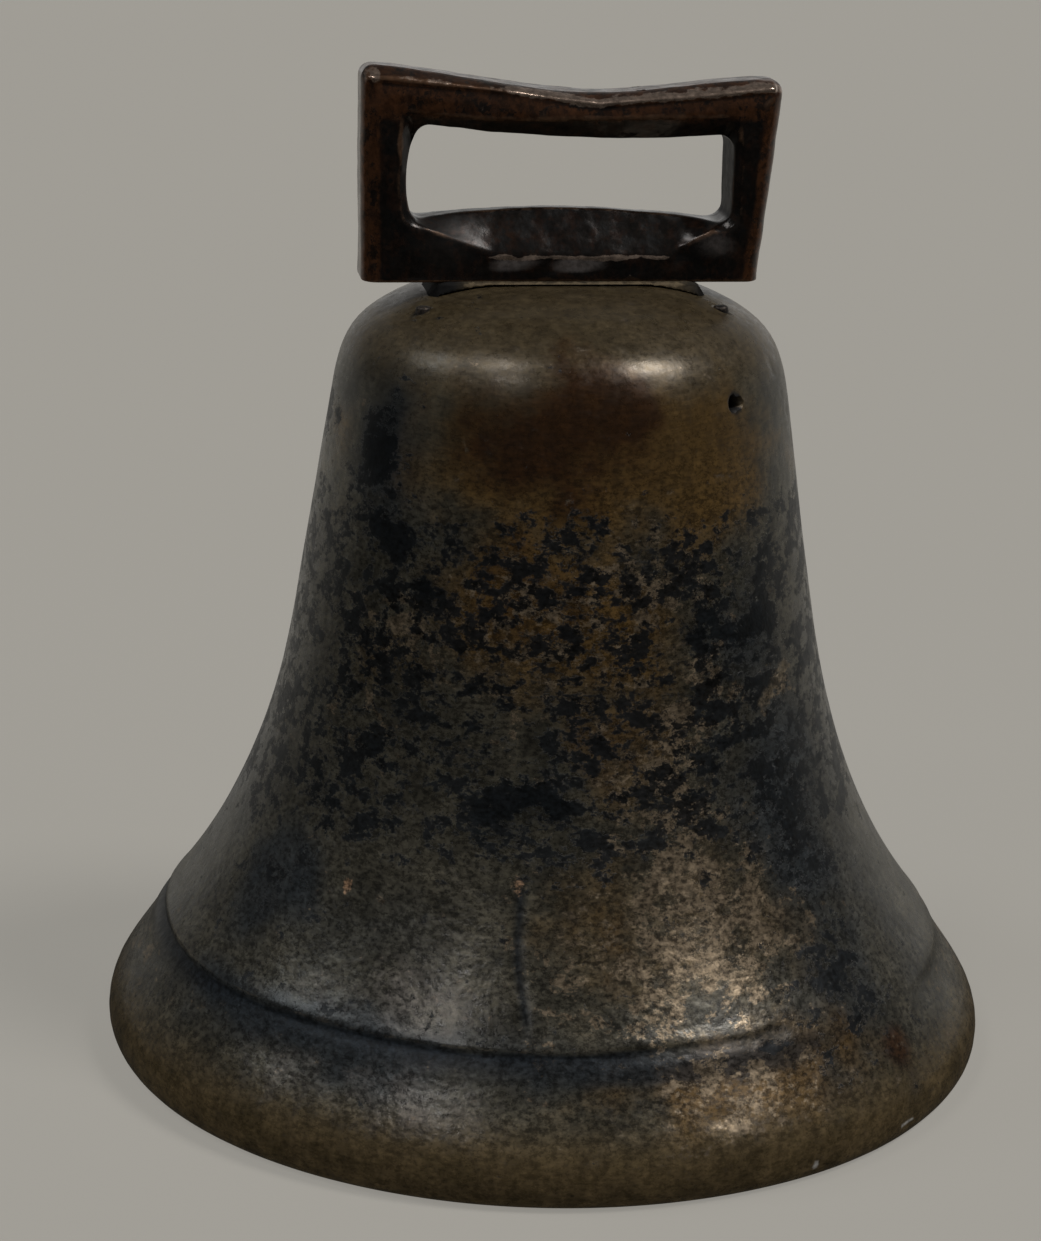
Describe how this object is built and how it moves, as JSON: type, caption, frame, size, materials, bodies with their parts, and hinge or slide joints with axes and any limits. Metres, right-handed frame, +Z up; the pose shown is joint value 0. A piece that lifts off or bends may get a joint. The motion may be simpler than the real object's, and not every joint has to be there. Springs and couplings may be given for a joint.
{
  "type": "church bell",
  "caption": "Small cast bronze bell with a flared sound bow, a rectangular strap loop on its crown and an iron clapper hung inside from a stirrup.",
  "frame": {"origin": "centre of the mouth, on the plane of the lip that the bell stands on", "axes": "+Z up the bell's axis towards the loop, X along the width of the loop and along the clapper's crossbar, Y through the loop's opening, the way a strap runs and the way the clapper swings; -Y is the front"},
  "size_m": [0.1814, 0.1814, 0.2001],
  "materials": {
    "bell_bronze": "old brown bronze patina, rubbed tan in places, with blue-black stains",
    "loop_bronze": "dark red-brown bronze, handled to a dull gloss",
    "braze": "pale tan braze, matt",
    "chaplet_iron": "brown oxide",
    "forged_iron": "dark forge scale with brown rust",
    "cast_iron": "dark iron with brown rust, rubbed bright where it strikes",
    "leather": "old greased leather"
  },
  "bodies": {
    "bell": {"bell_body": "bell_bronze", "strap_loop": "loop_bronze", "braze_fillet": "braze", "core_chaplets": "chaplet_iron", "crown_staple": "forged_iron", "staple_nut": "forged_iron", "crown_washer": "forged_iron", "packing_disc": "leather"},
    "bush": {"staple_bush": "leather"},
    "clapper": {"clapper_shaft": "forged_iron", "clapper_ball": "cast_iron", "clapper_rove": "forged_iron"}
  },
  "joints": [
    {"name": "clapper_swing", "type": "hinge", "parent": "bell", "child": "bush", "pos_m": [0, 0, 0.125], "axis": [1, 0, 0], "range_deg": [-27.4, 27.4]},
    {"name": "clapper_sway", "type": "hinge", "parent": "bush", "child": "clapper", "pos_m": [0, 0, 0.125], "axis": [0, 1, 0], "range_deg": [-4, 4]}
  ]
}
